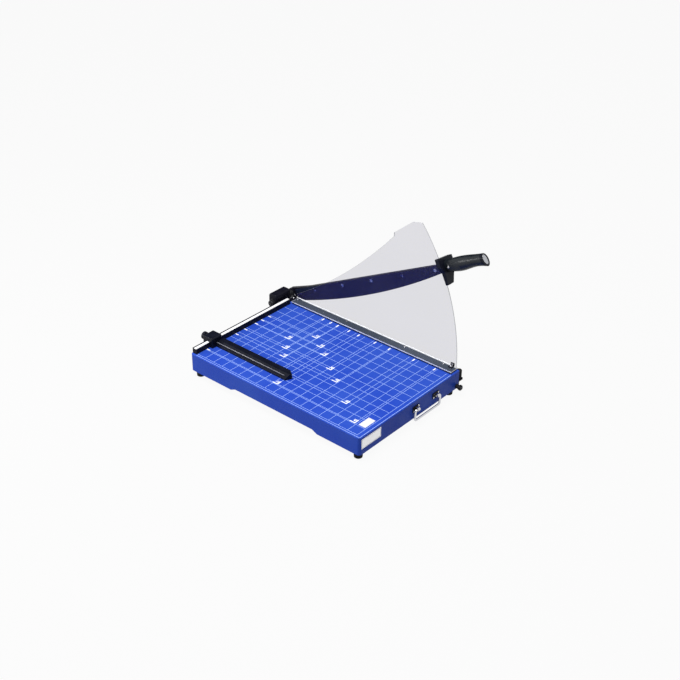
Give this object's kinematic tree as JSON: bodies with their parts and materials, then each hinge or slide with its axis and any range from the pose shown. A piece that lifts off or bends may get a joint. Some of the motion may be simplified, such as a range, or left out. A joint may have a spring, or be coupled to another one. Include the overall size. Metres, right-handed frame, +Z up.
{
  "type": "guillotine paper trimmer",
  "caption": "Desk guillotine trimmer: steel table with fixed knife, hinged blade arm, clear guard, back fence with sliding paper stop and a folding carrying bail.",
  "frame": {"origin": "bottom centre of the bounding box, on the surface under the rubber feet", "axes": "+X to the cutting edge on the operator's right, +Y from the operator to the fence, +Z up"},
  "size_m": [0.3544, 0.5528, 0.366],
  "materials": {
    "blue_enamel": "satin baked enamel",
    "black_metal": "satin black paint",
    "black_plastic": "fine grained",
    "grey_plastic": "smooth",
    "blade_steel": "blued and ground",
    "plain_steel": "zinc plated",
    "bright_plating": "bright plated",
    "bronze": "machined",
    "rubber": "matt",
    "clear_plastic": "clear sheet",
    "white_label": "printed film"
  },
  "bodies": {
    "base": {"base_shell": "blue_enamel", "cross_ribs": "blue_enamel", "side_bar": "plain_steel", "corner_gussets": "blue_enamel", "rubber_feet": "rubber", "foot_screws": "plain_steel", "foot_nuts": "plain_steel", "blank_badge": "white_label", "blank_notice": "white_label", "fixed_knife": "blade_steel", "knife_screws": "plain_steel", "fence_rail": "black_metal", "scale_strip": "white_label", "fence_screws": "plain_steel", "pivot_bracket": "black_metal", "bracket_bush": "bronze", "bracket_bolts": "plain_steel", "backing_plate": "plain_steel", "pivot_bolt": "plain_steel", "head_washer": "plain_steel", "thrust_ring": "plain_steel", "tension_spring": "plain_steel", "spring_cup": "plain_steel", "tension_nut": "bright_plating", "hold_down_bar": "black_metal", "end_blocks": "black_metal", "clear_guard": "clear_plastic", "guard_front_clip": "black_metal", "guard_rear_clip": "black_metal", "clip_rivets": "plain_steel", "hold_screws": "bright_plating", "end_screws": "bright_plating", "bail_ears": "bright_plating", "ear_screws": "bright_plating", "peg_sleeve": "rubber", "stop_peg": "plain_steel", "peg_nut": "plain_steel", "buffer_bracket": "black_metal", "buffer_rivets": "plain_steel", "arm_buffer": "rubber", "buffer_screw": "plain_steel"},
    "blade_arm": {"arm_bar": "black_metal", "hub_bush": "bronze", "arm_blade": "blade_steel", "blade_screws": "bright_plating", "handle_tang": "plain_steel", "tang_screws": "plain_steel", "hand_guard": "black_plastic", "hand_grip": "black_plastic", "grip_screws": "bright_plating", "end_cap": "black_plastic", "cap_insert": "grey_plastic"},
    "paper_stop": {"stop_saddle": "black_plastic", "stop_arm": "black_plastic", "stop_arm_screws": "plain_steel"},
    "clamp_pad": {"stop_pad": "bronze"},
    "clamp_knob": {"clamp_screw": "plain_steel", "stop_knob": "black_plastic"},
    "bail": {"carry_bail": "bright_plating"}
  },
  "joints": [
    {"name": "arm_hinge", "type": "hinge", "parent": "base", "child": "blade_arm", "pos_m": [0.1626, 0.26436, 0.063], "axis": [-1, 0, 0], "range_deg": [-27.15, 33]},
    {"name": "stop_slide", "type": "slide", "parent": "base", "child": "paper_stop", "axis": [1, 0, 0], "range_m": [-0.035, 0.188]},
    {"name": "pad_feed", "type": "slide", "parent": "paper_stop", "child": "clamp_pad", "axis": [0, -1, 0], "range_m": [-0.0005, 0.00025]},
    {"name": "knob_turn", "type": "hinge", "parent": "clamp_pad", "child": "clamp_knob", "pos_m": [-0.1187, 0.26366, 0.069], "axis": [0, -1, 0], "range_deg": [-181, 91]},
    {"name": "bail_hinge", "type": "hinge", "parent": "base", "child": "bail", "pos_m": [0.0358, -0.22984, 0.0375], "axis": [-1, 0, 0], "range_deg": [-5, 170]}
  ],
  "couplings": [
    {"joint": "knob_turn", "follows": "pad_feed", "rad_per_m": 6283.2}
  ]
}
